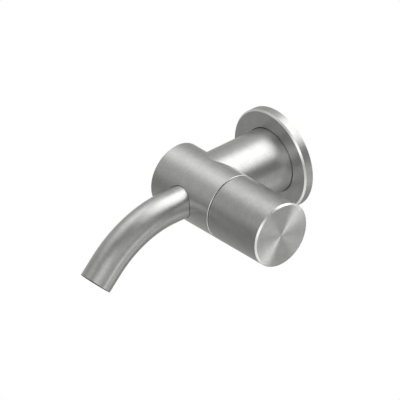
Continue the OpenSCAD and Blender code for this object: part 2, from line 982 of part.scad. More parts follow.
// Middles of the nipple's two seal grooves
function nipple_groove_y() = [
    for (i = [0, 1])
        socket_y - nipple_reach + nipple_end_land + i * nipple_groove_pitch
];

module nipple_seals() {
    color([0.12, 0.12, 0.12])
        for (y = nipple_groove_y())
            translate([0, y, 0])
                rotate([90, 0, 0])
                    cord_ring(nipple_groove_r + nipple_cord_r + seat_gap / 2, nipple_cord_r - seat_gap / 2);
}

module spout_grub_screw() {
    color([0.45, 0.45, 0.46])
        rotate([0, spout_grub_turn, 0])
            translate([0, spout_grub_y, -nipple_r])
                rotate([180, 0, 0])
                    grub_screw(spout_grub_end - nipple_r);
}

module aerator_housing() {
    color([0.72, 0.72, 0.72])
        on_tip(aerator_z0)
            difference() {
                cylinder(h = aerator_l, r = aerator_r);
                translate([0, 0, -over])
                    cylinder(h = aerator_l - aerator_lip_t + over, r = aerator_bore_r);
                cylinder(h = aerator_l + over, r = aerator_bore_r - aerator_lip);
                for (turn = [0, 90, 180, 270])
                    rotate([0, 0, turn])
                        translate([aerator_bore_r - aerator_lip - over, -key_notch / 2, aerator_l - key_depth])
                            cube([aerator_lip + over + key_bite, key_notch, key_depth + over]);
            }
}

module aerator_core() {
    color([0.25, 0.26, 0.28])
        on_tip(aerator_z0 + core_gap)
            difference() {
                union() {
                    cylinder(h = core_t / 2, r = aerator_bore_r - seat_gap);
                    cylinder(h = core_t, r = core_boss_r);
                }
                for (i = [0 : jet_n - 1])
                    rotate([0, 0, i * 360 / jet_n])
                        translate([jet_circle_r, 0, -over])
                            cylinder(h = core_t + 2 * over, r = jet_r, $fn = jet_facets);
            }
}

module aerator_screen() {
    hole = mesh_pitch - mesh_bar;
    reach = floor(aerator_bore_r / mesh_pitch);
    color([0.6, 0.6, 0.6])
        on_tip(aerator_z1 - aerator_lip_t - screen_t)
            difference() {
                cylinder(h = screen_t, r = aerator_bore_r - seat_gap);
                for (i = [-reach : reach], j = [-reach : reach])
                    if (norm([i, j]) * mesh_pitch < aerator_bore_r - mesh_margin)
                        translate([i * mesh_pitch - hole / 2, j * mesh_pitch - hole / 2, -over])
                            cube([hole, hole, screen_t + 2 * over]);
            }
}

module aerator_seal() {
    color([0.12, 0.12, 0.12])
        on_tip(mouth_z0)
            ring(aerator_r, aerator_bore_r, aerator_seal_t);
}

mixer_body();
neck_tube();
neck_grub_screw();
wall_plate();
wall_screws();
rosette();
rosette_grip_ring();
rosette_wall_seal();
inlet_block();
hot_feed_tube();
cold_feed_tube();
feed_tube_seals();
cartridge_housing();
cartridge_base();
port_seals();
fixed_disc();
moving_disc();
disc_carrier();
spindle();
spindle_seals();
stop_ring();
retaining_nut();
glide_ring();
handle();
handle_hub();
hub_screw();
handle_grub_screw();
spout_tube();
spout_nipple();
nipple_seals();
spout_grub_screw();
aerator_housing();
aerator_core();
aerator_screen();
aerator_seal();
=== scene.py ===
"""Looks of the wall-mounted basin mixer tap: its finishes, swept spout, studio stage and camera."""

import math

import bmesh
import bpy
from bpy.props import FloatProperty, FloatVectorProperty, IntProperty, PointerProperty
from mathutils import Matrix, Vector


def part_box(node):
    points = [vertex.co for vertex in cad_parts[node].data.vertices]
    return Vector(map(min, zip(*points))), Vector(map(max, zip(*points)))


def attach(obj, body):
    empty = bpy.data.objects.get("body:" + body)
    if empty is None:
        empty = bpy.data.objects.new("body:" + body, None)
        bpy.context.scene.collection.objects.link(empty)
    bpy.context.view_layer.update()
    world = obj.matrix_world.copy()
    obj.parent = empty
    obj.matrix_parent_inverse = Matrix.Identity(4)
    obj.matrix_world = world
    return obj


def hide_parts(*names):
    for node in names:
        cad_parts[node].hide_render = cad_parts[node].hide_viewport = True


bl_info = {
    "name": "Wall Mixer Tap Looks",
    "version": (1, 0, 0),
    "blender": (4, 5, 0),
    "location": "3D View > Sidebar > Tap",
    "description": "Dresses the packed wall-mounted mixer tap and sets its studio stage",
    "category": "Object",
}

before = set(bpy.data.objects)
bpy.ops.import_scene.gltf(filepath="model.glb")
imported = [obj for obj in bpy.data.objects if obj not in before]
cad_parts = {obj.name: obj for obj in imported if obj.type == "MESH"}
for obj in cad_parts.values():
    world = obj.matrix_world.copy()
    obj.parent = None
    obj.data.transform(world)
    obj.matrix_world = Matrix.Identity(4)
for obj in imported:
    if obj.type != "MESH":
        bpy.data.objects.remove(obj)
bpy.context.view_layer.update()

# A length too small to see, which keeps a finish from reaching the next face
TINY = 0.00002

# Keeps the swept spout inside the box of its solid
BOX_MARGIN = 0.000001

BODY_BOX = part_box("mixer_body")
HANDLE_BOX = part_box("handle")
NECK_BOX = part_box("neck_tube")
ROSETTE_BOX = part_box("rosette")
SPOUT_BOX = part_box("spout_tube")
AXIS_Y = (HANDLE_BOX[0].y + HANDLE_BOX[1].y) / 2
NECK_R = (NECK_BOX[1].x - NECK_BOX[0].x) / 2
SPOUT_R = (SPOUT_BOX[1].x - SPOUT_BOX[0].x) / 2 - BOX_MARGIN


# Node trees


class Nodes:
    """Adds and joins the nodes of one material or world."""

    def __init__(self, tree):
        self.tree = tree
        self.tree.nodes.clear()

    def add(self, kind, inputs=None, **settings):
        node = self.tree.nodes.new(kind)
        for key, value in settings.items():
            setattr(node, key, value)
        for key, value in (inputs or {}).items():
            if isinstance(value, bpy.types.NodeSocket):
                self.tree.links.new(value, node.inputs[key])
            else:
                node.inputs[key].default_value = value
        return node

    def math(self, operation, a, b=0.0, c=0.0):
        return self.add("ShaderNodeMath", {0: a, 1: b, 2: c}, operation=operation).outputs[0]

    def vector(self, operation, a, b=(0.0, 0.0, 0.0)):
        return self.add("ShaderNodeVectorMath", {0: a, 1: b}, operation=operation)

    def combine(self, x, y, z):
        return self.add("ShaderNodeCombineXYZ", {0: x, 1: y, 2: z}).outputs[0]

    def noise(self, place, scale, detail=2.0):
        found = self.add("ShaderNodeTexNoise", {"Vector": place, "Scale": scale, "Detail": detail})
        return found.outputs[0]

    def spread(self, value, low, high):
        """Turns a noise value round 0.5 into a value between low and high."""
        made = self.add(
            "ShaderNodeMapRange",
            {"Value": value, "From Min": 0.3, "From Max": 0.7, "To Min": low, "To Max": high},
        )
        return made.outputs[0]

    def place(self):
        return self.add("ShaderNodeTexCoord").outputs["Object"]


def blank_material(name):
    made = bpy.data.materials.new(name)
    made.use_nodes = True
    return made, Nodes(made.node_tree)


def dress(node_names, material):
    """Puts a material on CAD nodes, in every slot they have."""
    for name in node_names:
        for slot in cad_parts[name].material_slots:
            slot.material = material


# Brushed steel finish

# Scale of each noise, in waves per metre
FINE_LINES = 5200.0
BROAD_LINES = 900.0
STEEL_CLOUDS = 210.0
STEEL_GRAIN = 1000.0
CUT_CLOUDS = 500.0
BORE_CLOUDS = 700.0
METAL_CLOUDS = 240.0
METAL_PITS = 2600.0
MOULD_CLOUDS = 180.0


def around_x(n, toward):
    """Brush lines round the body's axis.

    Returns the direction across the lines, and each point's place along and round the axis. The direction
    leans out and along X at once, so it serves a side and an end face alike. Toward, 1 or -1, is the way it
    leans along X.
    """
    x, y, z = n.add("ShaderNodeSeparateXYZ", {0: n.place()}).outputs
    flat = n.combine(0.0, n.math("SUBTRACT", y, AXIS_Y), z)
    out = n.vector("NORMALIZE", flat).outputs[0]
    radius = n.vector("LENGTH", flat).outputs["Value"]
    along = n.math("SUBTRACT", x, n.math("MULTIPLY", radius, toward))
    u, v = n.add("ShaderNodeSeparateXYZ", {0: out}).outputs[1:3]
    return n.vector("ADD", out, (toward, 0.0, 0.0)).outputs[0], (along, u, v)


def around_y(n):
    """Brush lines round the neck's axis, in the same form."""
    x, y, z = n.add("ShaderNodeSeparateXYZ", {0: n.place()}).outputs
    flat = n.combine(x, 0.0, z)
    out = n.vector("NORMALIZE", flat).outputs[0]
    along = n.math("ADD", y, n.vector("LENGTH", flat).outputs["Value"])
    u, _, v = n.add("ShaderNodeSeparateXYZ", {0: out}).outputs
    return n.vector("ADD", out, (0.0, 1.0, 0.0)).outputs[0], (along, u, v)


def around_spout(n, spout):
    """Brush lines round the spout's centre line, which is straight, bent and straight again."""
    radius = spout.bend_radius
    angle = spout.bend_angle
    x, y, z = n.add("ShaderNodeSeparateXYZ", {0: n.place()}).outputs
    rise = n.math("ADD", z, radius)
    run = n.math("SUBTRACT", spout.bend_start, y)
    turn = n.math("MINIMUM", n.math("MAXIMUM", n.math("ARCTAN2", run, rise), 0.0), angle)
    across = n.combine(0.0, n.math("COSINE", turn), n.math("SINE", turn))
    before = n.math("MINIMUM", run, 0.0)
    ahead = n.math("MULTIPLY", run, math.cos(angle))
    ahead = n.math("ADD", ahead, n.math("MULTIPLY", rise, -math.sin(angle)))
    past = n.math("MAXIMUM", ahead, 0.0)
    along = n.math("ADD", n.math("MULTIPLY", turn, radius), n.math("ADD", before, past))
    lift = n.math("MULTIPLY", run, n.math("SINE", turn))
    lift = n.math("ADD", lift, n.math("MULTIPLY", rise, n.math("COSINE", turn)))
    lift = n.math("SUBTRACT", lift, radius)
    return across, (along, n.math("DIVIDE", x, SPOUT_R), n.math("DIVIDE", lift, SPOUT_R))


def drawn_out(n, place, per_metre, round_form, detail):
    """Noise that is drawn out into lines round a form."""
    along, u, v = place
    stretched = n.combine(
        n.math("MULTIPLY", along, per_metre),
        n.math("MULTIPLY", u, round_form),
        n.math("MULTIPLY", v, round_form),
    )
    return n.noise(stretched, 1.0, detail)


def satin_shader(n, lines, finish, roughness, brush, line_depth, tone=1.0):
    """Satin stainless steel with fine brush lines that run round a form."""
    across, place = lines
    grain_depth = finish.grain_depth
    fine = drawn_out(n, place, FINE_LINES, 4.0, 3.0)
    broad = drawn_out(n, place, BROAD_LINES, 3.0, 2.0)
    cloud = n.noise(n.place(), STEEL_CLOUDS, 3.0)
    grain = n.noise(n.place(), STEEL_GRAIN, 2.0)
    shade = n.spread(fine, 1.0 - line_depth, 1.0 + line_depth)
    shade = n.math("MULTIPLY", shade, n.spread(broad, 0.98, 1.02))
    shade = n.math("MULTIPLY", shade, n.spread(cloud, 0.96, 1.04))
    shade = n.math("MULTIPLY", shade, n.spread(grain, 1.0 - grain_depth, 1.0 + grain_depth))
    colour = n.vector("SCALE", tuple(tone * part for part in finish.steel_colour))
    n.tree.links.new(shade, colour.inputs["Scale"])
    bump = n.add("ShaderNodeBump", {"Strength": 0.04, "Distance": 0.00002, "Height": fine})
    shader = n.add(
        "ShaderNodeBsdfPrincipled",
        {
            "Base Color": colour.outputs[0],
            "Metallic": 1.0,
            "Roughness": n.math("MULTIPLY", n.spread(fine, 0.94, 1.06), roughness),
            "Anisotropic": brush,
            "Tangent": across,
            "Normal": bump.outputs[0],
        },
    )
    return shader.outputs[0]


def brushed(n, lines, finish, tone=1.0, brush=None):
    """The satin steel of the outside of a round form."""
    brush = finish.steel_brush if brush is None else brush
    return satin_shader(n, lines, finish, finish.steel_roughness, brush, finish.line_depth, tone)


def turned_face(n, lines, finish):
    """The steel of a flat end that was turned on a lathe."""
    line_depth = finish.line_depth * 0.5
    return satin_shader(n, lines, finish, finish.face_roughness, 1.0, line_depth, finish.face_tone)


def bright_cut(n, finish):
    """Steel left bright by the turning tool, on a chamfer or a broken edge."""
    cloud = n.noise(n.place(), CUT_CLOUDS, 3.0)
    colour = n.vector("SCALE", tuple(finish.edge_colour))
    n.tree.links.new(n.spread(cloud, 0.97, 1.03), colour.inputs["Scale"])
    shader = n.add(
        "ShaderNodeBsdfPrincipled",
        {
            "Base Color": colour.outputs[0],
            "Metallic": 1.0,
            "Roughness": n.math("MULTIPLY", n.spread(cloud, 0.9, 1.1), finish.edge_roughness),
        },
    )
    return shader.outputs[0]


def dull_cut_with_painted_shade(n, finish):
    """Undressed steel inside bores and narrow gaps, made dark with painted shade; its roughness is the
    steel's own.
    """
    shader = n.add(
        "ShaderNodeBsdfPrincipled",
        {
            # The dark colour is painted shade for bores and narrow gaps
            "Base Color": (*finish.bore_shade_colour, 1.0),
            "Metallic": 1.0,
            "Roughness": n.spread(n.noise(n.place(), BORE_CLOUDS), 0.5, 0.6),
        },
    )
    return shader.outputs[0]


def between(n, value, low, high):
    """One where a value lies between two limits, otherwise zero."""
    return n.math("MULTIPLY", n.math("GREATER_THAN", value, low), n.math("LESS_THAN", value, high))


def blend(n, share, first, second):
    return n.add("ShaderNodeMixShader", {0: share, 1: first, 2: second}).outputs[0]


def body_steel(finish):
    """The body's satin side with bright broken edges, a turned closed end and painted shade on the end
    hidden in the handle.
    """
    material, n = blank_material("steel_body")
    satin = brushed(n, around_x(n, 1.0), finish, finish.body_tone)
    x = n.add("ShaderNodeSeparateXYZ", {0: n.place()}).outputs[0]
    end = HANDLE_BOX[0].x - finish.handle_gap
    near_edge = between(n, x, end - finish.edge_width, end - TINY)
    far_edge = n.math("LESS_THAN", x, BODY_BOX[0].x + finish.edge_width)
    edges = n.math("MAXIMUM", near_edge, far_edge)
    rest = blend(n, edges, satin, bright_cut(n, finish))
    # Painted shade: the end face in the handle's gap and the sleeve inside take the dark steel
    inside = n.math("GREATER_THAN", x, end - TINY)
    rest = blend(n, inside, rest, dull_cut_with_painted_shade(n, finish))
    face = turned_face(n, around_x(n, -1.0), finish)
    closed_end = n.math("LESS_THAN", x, BODY_BOX[0].x + TINY)
    n.add("ShaderNodeOutputMaterial", {"Surface": blend(n, closed_end, rest, face)})
    return material


def handle_steel(finish):
    """The handle's satin side, bright chamfer, turned end face and painted shade on its inner end."""
    material, n = blank_material("steel_handle")
    side = brushed(n, around_x(n, -1.0), finish, finish.handle_tone, finish.handle_brush)
    face = turned_face(n, around_x(n, 1.0), finish)
    x = n.add("ShaderNodeSeparateXYZ", {0: n.place()}).outputs[0]
    end = HANDLE_BOX[1].x
    chamfer = n.math("GREATER_THAN", x, end - finish.chamfer_width - TINY)
    rest = blend(n, chamfer, side, bright_cut(n, finish))
    end_face = n.math("GREATER_THAN", x, end - TINY)
    rest = blend(n, end_face, rest, face)
    # Painted shade: the inner end facing the body's gap takes the dark steel
    shaded_inner_end = n.math("LESS_THAN", x, HANDLE_BOX[0].x + TINY)
    n.add("ShaderNodeOutputMaterial", {"Surface": blend(n, shaded_inner_end, rest, dull_cut_with_painted_shade(n, finish))})
    return material


def rosette_steel(finish):
    """The rosette's satin face and rim with a bright chamfer between them, the face painted lighter and the
    rim painted darker as light and shade, and painted shade in its bore.
    """
    material, n = blank_material("steel_rosette")
    # Painted light and shade: the face's tone lightens it and the rim's tone darkens it
    face = brushed(n, around_y(n), finish, finish.rosette_painted_light_tone)
    rim = brushed(n, around_y(n), finish, finish.rim_painted_shade_tone)
    x, y, z = n.add("ShaderNodeSeparateXYZ", {0: n.place()}).outputs
    front = ROSETTE_BOX[0].y
    side = n.math("GREATER_THAN", y, front + TINY)
    cut = n.math("LESS_THAN", y, front + finish.chamfer_width + TINY)
    rest = blend(n, side, face, blend(n, cut, rim, bright_cut(n, finish)))
    # Painted shade: the bore round the neck, past the gap's mouth, takes the dark steel
    radius = n.vector("LENGTH", n.combine(x, 0.0, z)).outputs["Value"]
    round_neck = n.math("LESS_THAN", radius, NECK_R + finish.shade_gap_depth + TINY)
    bore = n.math("MULTIPLY", round_neck, n.math("GREATER_THAN", y, front + finish.shade_gap_depth))
    n.add("ShaderNodeOutputMaterial", {"Surface": blend(n, bore, rest, dull_cut_with_painted_shade(n, finish))})
    return material


def neck_steel(finish):
    """The neck's satin steel, dark with painted shade where the rosette hides it."""
    material, n = blank_material("steel_neck")
    satin = brushed(n, around_y(n), finish)
    y = n.add("ShaderNodeSeparateXYZ", {0: n.place()}).outputs[1]
    # Painted shade: the neck inside the rosette's bore takes the dark steel
    shaded_hidden = n.math("GREATER_THAN", y, ROSETTE_BOX[0].y + finish.shade_gap_depth)
    n.add("ShaderNodeOutputMaterial", {"Surface": blend(n, shaded_hidden, satin, dull_cut_with_painted_shade(n, finish))})
    return material


def spout_steel(finish, spout):
    """The spout's satin steel outside and its dull drawn bore inside, dark with painted shade."""
    material, n = blank_material("steel_spout")
    lines = around_spout(n, spout)
    satin = brushed(n, lines, finish)
    _, u, v = lines[1]
    radius = n.vector("LENGTH", n.combine(u, v, 0.0)).outputs["Value"]
    # Painted shade: the bore inside the tube takes the dark steel
    inside = n.math("LESS_THAN", radius, 1.0 - finish.bore_shade_depth / SPOUT_R)
    n.add("ShaderNodeOutputMaterial", {"Surface": blend(n, inside, satin, dull_cut_with_painted_shade(n, finish))})
    return material


def plain_metal(name, colour, roughness):
    """Turned or cast metal without brush lines."""
    material, n = blank_material(name)
    cloud = n.noise(n.place(), METAL_CLOUDS, 4.0)
    fine = n.noise(n.place(), METAL_PITS, 2.0)
    tinted = n.vector("SCALE", tuple(colour))
    n.tree.links.new(n.spread(cloud, 0.92, 1.06), tinted.inputs["Scale"])
    bump = n.add("ShaderNodeBump", {"Strength": 0.15, "Distance": 0.00003, "Height": fine})
    shader = n.add(
        "ShaderNodeBsdfPrincipled",
        {
            "Base Color": tinted.outputs[0],
            "Metallic": 1.0,
            "Roughness": n.math("MULTIPLY", n.spread(fine, 0.85, 1.15), roughness),
            "Normal": bump.outputs[0],
        },
    )
    n.add("ShaderNodeOutputMaterial", {"Surface": shader.outputs[0]})
    return material


def moulded(name, colour, roughness, grain=900.0, depth=0.00004, specular=0.5):
    """Moulded plastic, rubber or fired ceramic."""
    material, n = blank_material(name)
    cloud = n.noise(n.place(), MOULD_CLOUDS, 3.0)
    fine = n.noise(n.place(), grain, 3.0)
    tinted = n.vector("SCALE", tuple(colour))
    n.tree.links.new(n.spread(cloud, 0.94, 1.06), tinted.inputs["Scale"])
    bump = n.add("ShaderNodeBump", {"Strength": 0.25, "Distance": depth, "Height": fine})
    shader = n.add(
        "ShaderNodeBsdfPrincipled",
        {
            "Base Color": tinted.outputs[0],
            "Roughness": n.math("MULTIPLY", n.spread(fine, 0.9, 1.1), roughness),
            "Specular IOR Level": specular,
            "Normal": bump.outputs[0],
        },
    )
    n.add("ShaderNodeOutputMaterial", {"Surface": shader.outputs[0]})
    return material


# Settings


class TapFinish(bpy.types.PropertyGroup):
    """Colours and surface of the metals and the small inner parts."""

    steel_colour: FloatVectorProperty(
        name="Steel colour", description="Colour of the satin steel", subtype="COLOR",
        size=3, min=0.0, max=1.0, default=(0.5, 0.5, 0.49),
    )
    steel_roughness: FloatProperty(
        name="Steel roughness", description="How widely the steel scatters light",
        default=0.336, min=0.05, max=0.8, subtype="FACTOR",
    )
    steel_brush: FloatProperty(
        name="Brush strength", description="How strongly the brush lines stretch a highlight",
        default=0.3, min=0.0, max=1.0, subtype="FACTOR",
    )
    handle_brush: FloatProperty(
        name="Handle brush strength",
        description="How strongly the handle's brush lines stretch a highlight",
        default=0.55, min=0.0, max=1.0, subtype="FACTOR",
    )
    face_roughness: FloatProperty(
        name="Face roughness", description="How widely the turned end faces scatter light",
        default=0.36, min=0.05, max=0.8, subtype="FACTOR",
    )
    line_depth: FloatProperty(
        name="Line depth", description="How much lighter and darker the single brush lines are",
        default=0.035, min=0.0, max=0.3, subtype="FACTOR",
    )
    grain_depth: FloatProperty(
        name="Grain depth", description="How much lighter and darker the grain of the satin steel is",
        default=0.07, min=0.0, max=0.3, subtype="FACTOR",
    )
    # Painted shade: the dark colour of the steel in bores and narrow gaps
    bore_shade_colour: FloatVectorProperty(
        name="Bore colour", description="Colour of the undressed steel in bores and gaps", subtype="COLOR",
        size=3, min=0.0, max=1.0, default=(0.1, 0.1, 0.1),
    )
    # Painted shade: depth under the spout's outside at which its dark bore starts
    bore_shade_depth: FloatProperty(
        name="Bore depth", description="Depth under the spout's outside at which its dull bore starts",
        default=0.0006, unit="LENGTH",
    )
    edge_colour: FloatVectorProperty(
        name="Edge colour", description="Colour of the bright cut edges", subtype="COLOR",
        size=3, min=0.0, max=1.0, default=(0.86, 0.86, 0.85),
    )
    edge_roughness: FloatProperty(
        name="Edge roughness", description="How widely the bright cut edges scatter light",
        default=0.32, min=0.05, max=0.8, subtype="FACTOR",
    )
    chamfer_width: FloatProperty(
        name="Chamfer width", description="Width of the chamfers on the handle and the rosette",
        default=0.001, unit="LENGTH",
    )
    edge_width: FloatProperty(
        name="Edge width", description="Width of the body's broken edges",
        default=0.0002, unit="LENGTH",
    )
    # Painted shade: depth in a narrow gap at which the dark steel starts
    shade_gap_depth: FloatProperty(
        name="Gap depth", description="Depth in a narrow gap at which the undressed steel starts",
        default=0.0003, unit="LENGTH",
    )
    body_tone: FloatProperty(
        name="Body tone", description="How light the body's steel is beside the other steel",
        default=1.05, min=0.5, max=1.5, subtype="FACTOR",
    )
    face_tone: FloatProperty(
        name="Face tone", description="How light the turned end faces are beside the other steel",
        default=1.16, min=0.5, max=1.5, subtype="FACTOR",
    )
    # Painted light: lightens the rosette's face beyond what the lamps give it
    rosette_painted_light_tone: FloatProperty(
        name="Rosette tone", description="How light the rosette's face is beside the other steel",
        default=1.14, min=0.5, max=1.5, subtype="FACTOR",
    )
    # Painted shade: darkens the rosette's rim beyond what the lamps give it
    rim_painted_shade_tone: FloatProperty(
        name="Rim tone", description="How light the rosette's rim is beside the other steel",
        default=0.96, min=0.5, max=1.5, subtype="FACTOR",
    )
    handle_tone: FloatProperty(
        name="Handle tone", description="How light the handle's steel is beside the other steel",
        default=0.93, min=0.5, max=1.5, subtype="FACTOR",
    )
    handle_gap: FloatProperty(
        name="Handle gap", description="Gap between the body and the handle",
        default=0.0005, unit="LENGTH",
    )
    brass_colour: FloatVectorProperty(
        name="Brass colour", description="Colour of the bare brass", subtype="COLOR",
        size=3, min=0.0, max=1.0, default=(0.6, 0.44, 0.2),
    )


class TapSpout(bpy.types.PropertyGroup):
    """Sizes of the swept spout."""

    root: FloatProperty(
        name="Root", description="Place of the tube's inner end along Y",
        default=-0.06984, unit="LENGTH",
    )
    bend_start: FloatProperty(
        name="Bend start", description="Place of the start of the bend along Y",
        default=-0.087, unit="LENGTH",
    )
    bend_radius: FloatProperty(
        name="Bend radius", description="Radius of the bend on the centre line",
        default=0.0693, unit="LENGTH",
    )
    bend_angle: FloatProperty(
        name="Bend angle", description="How far the tube turns down",
        default=math.radians(45), subtype="ANGLE",
    )
    tip_length: FloatProperty(
        name="Tip length", description="Straight length past the bend",
        default=0.0117, unit="LENGTH",
    )
    tip_edge: FloatProperty(
        name="Tip edge", description="Broken edge round the mouth",
        default=0.00015, unit="LENGTH",
    )
    mouth_wall: FloatProperty(
        name="Mouth wall", description="Wall round the aerator",
        default=0.0013, unit="LENGTH",
    )
    mouth_depth: FloatProperty(
        name="Mouth depth", description="Depth of the aerator's seat",
        default=0.0102, unit="LENGTH",
    )
    wall: FloatProperty(
        name="Wall", description="Wall of the tube",
        default=0.0022, unit="LENGTH",
    )
    segments: IntProperty(
        name="Segments", description="Faces round the tube",
        default=144, min=24, max=256,
    )
    steps: IntProperty(
        name="Steps", description="Faces along the bend",
        default=54, min=8, max=128,
    )


class TapStage(bpy.types.PropertyGroup):
    """Camera frame and studio light."""

    azimuth: FloatProperty(
        name="Azimuth", description="Turn of the camera round the tap, from the front",
        default=math.radians(47.88), subtype="ANGLE",
    )
    elevation: FloatProperty(
        name="Elevation", description="Height of the camera above the horizon",
        default=math.radians(31.716), subtype="ANGLE",
    )
    view_width: FloatProperty(
        name="View width", description="Width of the scene across the picture",
        default=0.23543, unit="LENGTH",
    )
    target: FloatVectorProperty(
        name="Target", description="Point in the middle of the picture", subtype="TRANSLATION",
        size=3, default=(-0.003686, -0.057783, -0.008135),
    )
    floor_drop: FloatProperty(
        name="Floor drop", description="Distance from the tap down to the floor",
        default=0.5, unit="LENGTH",
    )
    softbox_light: FloatProperty(
        name="Softbox light", description="Light of the wide softbox above the wall",
        default=2.25, min=0.0, max=6.0,
    )
    base_light: FloatProperty(
        name="Base light", description="Light that comes from every side of the studio",
        default=0.05, min=0.0, max=2.0,
    )


# Spout

SHARP_ANGLE = math.radians(25)


def pushed(bm, ring, matrix):
    """Extrudes a ring of edges and moves the new one. Returns the new ring."""
    made = bmesh.ops.extrude_edge_only(bm, edges=ring)["geom"]
    corners = [g for g in made if isinstance(g, bmesh.types.BMVert)]
    bmesh.ops.transform(bm, matrix=matrix, verts=corners, space=Matrix.Identity(4))
    return [g for g in made if isinstance(g, bmesh.types.BMEdge) and all(v in corners for v in g.verts)]


def shrunk(centre, factor):
    return Matrix.Translation(centre) @ Matrix.Scale(factor, 4) @ Matrix.Translation(-centre)


def turned(bm, ring, centre, angle, steps):
    """Spins a ring of edges about an axis along X. Returns the last ring."""
    corners = list({v for e in ring for v in e.verts})
    made = bmesh.ops.spin(bm, geom=ring + corners, cent=centre, axis=(1, 0, 0), angle=angle, steps=steps)
    return [g for g in made["geom_last"] if isinstance(g, bmesh.types.BMEdge)]


def swept_tube(spout):
    """The spout's outside from root to tip, then its mouth and its bore back to the root."""
    bm = bmesh.new()
    upright = Matrix.Translation((0, spout.root, 0)) @ Matrix.Rotation(math.radians(90), 4, "X")
    bmesh.ops.create_circle(bm, segments=spout.segments, radius=SPOUT_R, matrix=upright)
    root_ring = list(bm.edges)
    centre = Vector((0, spout.bend_start, -spout.bend_radius))
    level = math.cos(spout.bend_angle)
    fall = math.sin(spout.bend_angle)
    out = Vector((0, -level, -fall))
    tip = centre + Vector((0, -fall, level)) * spout.bend_radius + out * spout.tip_length
    straight = Vector((0, spout.bend_start - spout.root, 0))
    tip_r = SPOUT_R - spout.tip_edge
    mouth_r = SPOUT_R - spout.mouth_wall
    bore_r = SPOUT_R - spout.wall

    # Outside
    ring = pushed(bm, root_ring, Matrix.Translation(straight))
    ring = turned(bm, ring, centre, spout.bend_angle, spout.steps)
    ring = pushed(bm, ring, Matrix.Translation(out * (spout.tip_length - spout.tip_edge)))
    narrower = shrunk(tip - out * spout.tip_edge, tip_r / SPOUT_R)
    ring = pushed(bm, ring, Matrix.Translation(out * spout.tip_edge) @ narrower)

    # Mouth
    ring = pushed(bm, ring, shrunk(tip, mouth_r / tip_r))
    ring = pushed(bm, ring, Matrix.Translation(-out * spout.mouth_depth))
    ring = pushed(bm, ring, shrunk(tip - out * spout.mouth_depth, bore_r / mouth_r))

    # Bore
    ring = pushed(bm, ring, Matrix.Translation(-out * (spout.tip_length - spout.mouth_depth)))
    ring = turned(bm, ring, centre, -spout.bend_angle, spout.steps)
    ring = pushed(bm, ring, Matrix.Translation(-straight))
    bmesh.ops.bridge_loops(bm, edges=root_ring + ring)
    bmesh.ops.recalc_face_normals(bm, faces=bm.faces)
    return bm


def finished_piece(name, bm):
    """Turns a bmesh into a smooth-shaded object with its sharp edges kept."""
    for face in bm.faces:
        face.smooth = True
    mesh = bpy.data.meshes.new(name)
    bm.to_mesh(mesh)
    bm.free()
    mesh.set_sharp_from_angle(angle=SHARP_ANGLE)
    piece = bpy.data.objects.new(name, mesh)
    bpy.context.scene.collection.objects.link(piece)
    return piece


# Stage

# Each light has its direction from the tap, its focus and its strength
STUDIO_LIGHTS = {
    "fill_upper_left": ((-0.48, 0.13, 0.87), 9.5, 1.3),
    "fill_front_left": ((-0.4, -0.75, 0.55), 14.0, 0.5),
    "fill_left": ((-0.9, 0.25, -0.3), 1.5, 0.55),
    "fill_front_right": ((0.6, -0.75, 0.3), 8.0, 1.55),
    "fill_right": ((0.95, 0.1, 0.3), 20.0, 0.55),
    "fill_under": ((0.4, -0.2, -0.9), 7.5, 0.8),
    "fill_low_right": ((0.75, -0.35, -0.55), 12.0, 0.65),
    "fill_low_back": ((0.6, 0.3, -0.75), 12.0, 0.4),
    "card_back_right": ((0.6, 0.55, -0.55), 60.0, 0.45),
    "card_right": ((0.93, 0.31, -0.21), 60.0, 1.6),
    "lamp_behind_the_wall": ((0.33, 0.92, -0.19), 40.0, 4.75),
}
SOFTBOX_CENTRE = (0.17, 0.63, 0.76)
SOFTBOX_INNER = math.radians(3)
SOFTBOX_OUTER = math.radians(40)
FLOOR_HALF_WIDTH = 4.0
CAMERA_DISTANCE = 0.8
WHITE = (1.0, 1.0, 1.0, 1.0)
PALE_GREY = (0.8, 0.8, 0.8, 1.0)


def nearness(n, direction, centre):
    """The cosine of the angle between a direction and a light's centre."""
    aim = tuple(Vector(centre).normalized())
    return n.vector("DOT_PRODUCT", direction, aim).outputs["Value"]


def softbox(n, direction, amount):
    """A wide soft light above the wall, full inside its inner angle and gone past its outer one."""
    made = n.add(
        "ShaderNodeMapRange",
        {
            "Value": nearness(n, direction, SOFTBOX_CENTRE),
            "From Min": math.cos(SOFTBOX_OUTER),
            "From Max": math.cos(SOFTBOX_INNER),
            "To Min": 0.0,
            "To Max": amount,
        },
        interpolation_type="SMOOTHSTEP",
    )
    return made.outputs[0]


def soft_light(n, direction, centre, focus, amount):
    """A soft round light in a direction of the sky. A higher focus makes it smaller."""
    off_centre = n.math("SUBTRACT", nearness(n, direction, centre), 1.0)
    fall = n.math("EXPONENT", n.math("MULTIPLY", off_centre, focus))
    return n.math("MULTIPLY", fall, amount)


def seen_by_camera(n):
    return n.add("ShaderNodeLightPath").outputs["Is Camera Ray"]


def studio_world(stage):
    """A sky with the studio's lights, white where the camera looks at it."""
    world = bpy.data.worlds.new("studio_world")
    world.use_nodes = True
    n = Nodes(world.node_tree)
    direction = n.vector("NORMALIZE", n.add("ShaderNodeTexCoord").outputs["Generated"]).outputs[0]
    total = n.math("ADD", softbox(n, direction, stage.softbox_light), stage.base_light)
    for centre, focus, amount in STUDIO_LIGHTS.values():
        total = n.math("ADD", soft_light(n, direction, centre, focus, amount), total)
    strength = n.add("ShaderNodeMix", {0: seen_by_camera(n), 2: total, 3: 1.0}).outputs[0]
    sky = n.add("ShaderNodeBackground", {"Color": WHITE, "Strength": strength})
    n.add("ShaderNodeOutputWorld", {"Surface": sky.outputs[0]})
    return world


